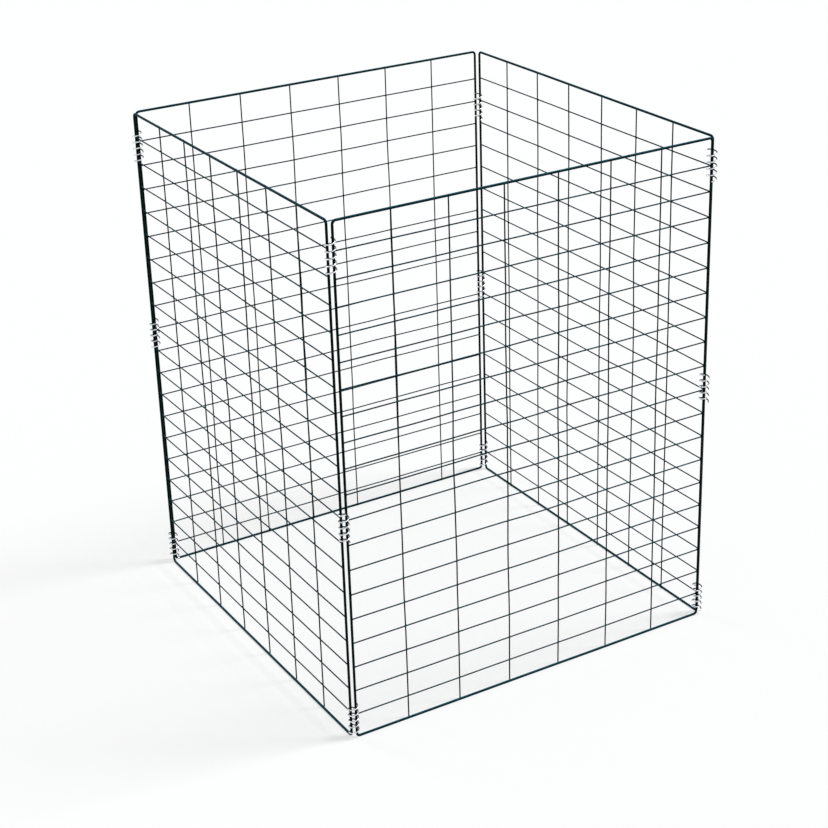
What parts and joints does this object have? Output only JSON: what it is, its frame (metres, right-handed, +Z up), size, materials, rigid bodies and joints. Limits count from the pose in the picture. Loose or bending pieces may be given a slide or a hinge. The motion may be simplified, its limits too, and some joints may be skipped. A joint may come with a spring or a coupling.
{
  "type": "wire compost bin",
  "caption": "Square garden compost bin of welded wire mesh panels held together at the corners by wire spirals, open at top and bottom; it folds flat.",
  "frame": {"origin": "centre of the square plan, on the ground", "axes": "+Z up, -Y out of the front panel, +X to the right seen from the front"},
  "size_m": [0.7832, 0.7832, 0.96],
  "materials": {
    "green_powder_coat": "semi-gloss dark green powder coat over welded steel wire",
    "galvanised_wire": "bright galvanised spring wire"
  },
  "bodies": {
    "front_panel": {"front_frame": "green_powder_coat", "front_upright_wire_1": "green_powder_coat", "front_upright_wire_2": "green_powder_coat", "front_upright_wire_3": "green_powder_coat", "front_upright_wire_4": "green_powder_coat", "front_upright_wire_5": "green_powder_coat", "front_upright_wire_6": "green_powder_coat"},
    "right_panel": {"right_frame": "green_powder_coat", "right_upright_wire_1": "green_powder_coat", "right_upright_wire_2": "green_powder_coat", "right_upright_wire_3": "green_powder_coat", "right_upright_wire_4": "green_powder_coat", "right_upright_wire_5": "green_powder_coat", "right_upright_wire_6": "green_powder_coat"},
    "back_panel": {"back_frame": "green_powder_coat", "back_upright_wire_1": "green_powder_coat", "back_upright_wire_2": "green_powder_coat", "back_upright_wire_3": "green_powder_coat", "back_upright_wire_4": "green_powder_coat", "back_upright_wire_5": "green_powder_coat", "back_upright_wire_6": "green_powder_coat"},
    "left_panel": {"left_frame": "green_powder_coat", "left_upright_wire_1": "green_powder_coat", "left_upright_wire_2": "green_powder_coat", "left_upright_wire_3": "green_powder_coat", "left_upright_wire_4": "green_powder_coat", "left_upright_wire_5": "green_powder_coat", "left_upright_wire_6": "green_powder_coat"},
    "front_left_spirals": {"front_left_spiral_top": "galvanised_wire", "front_left_spiral_middle": "galvanised_wire", "front_left_spiral_bottom": "galvanised_wire"},
    "front_right_spirals": {"front_right_spiral_top": "galvanised_wire", "front_right_spiral_middle": "galvanised_wire", "front_right_spiral_bottom": "galvanised_wire"},
    "back_right_spirals": {"back_right_spiral_top": "galvanised_wire", "back_right_spiral_middle": "galvanised_wire", "back_right_spiral_bottom": "galvanised_wire"},
    "back_left_spirals": {"back_left_spiral_top": "galvanised_wire", "back_left_spiral_middle": "galvanised_wire", "back_left_spiral_bottom": "galvanised_wire"}
  },
  "joints": [
    {"name": "left_fold", "type": "hinge", "parent": "front_panel", "child": "left_panel", "pos_m": [-0.38115, -0.38115, 0], "axis": [0, 0, 1], "range_deg": [-86, 86]},
    {"name": "right_fold", "type": "hinge", "parent": "front_panel", "child": "right_panel", "pos_m": [0.38115, -0.38115, 0], "axis": [0, 0, 1], "range_deg": [-86, 86]},
    {"name": "back_fold", "type": "hinge", "parent": "left_panel", "child": "back_panel", "pos_m": [-0.38115, 0.38115, 0], "axis": [0, 0, 1], "range_deg": [-86, 86]},
    {"name": "front_left_spiral_turn", "type": "hinge", "parent": "front_panel", "child": "front_left_spirals", "pos_m": [-0.38115, -0.38115, 0], "axis": [0, 0, 1], "range_deg": [-43, 43]},
    {"name": "front_right_spiral_turn", "type": "hinge", "parent": "front_panel", "child": "front_right_spirals", "pos_m": [0.38115, -0.38115, 0], "axis": [0, 0, 1], "range_deg": [-43, 43]},
    {"name": "back_left_spiral_turn", "type": "hinge", "parent": "left_panel", "child": "back_left_spirals", "pos_m": [-0.38115, 0.38115, 0], "axis": [0, 0, 1], "range_deg": [-43, 43]},
    {"name": "back_right_spiral_turn", "type": "hinge", "parent": "right_panel", "child": "back_right_spirals", "pos_m": [0.38115, 0.38115, 0], "axis": [0, 0, 1], "range_deg": [-43, 43]}
  ],
  "couplings": [
    {"joint": "right_fold", "follows": "left_fold", "ratio": 1},
    {"joint": "back_fold", "follows": "left_fold", "ratio": -1},
    {"joint": "front_left_spiral_turn", "follows": "left_fold", "ratio": 0.5},
    {"joint": "front_right_spiral_turn", "follows": "left_fold", "ratio": 0.5},
    {"joint": "back_left_spiral_turn", "follows": "left_fold", "ratio": -0.5},
    {"joint": "back_right_spiral_turn", "follows": "left_fold", "ratio": -0.5}
  ]
}
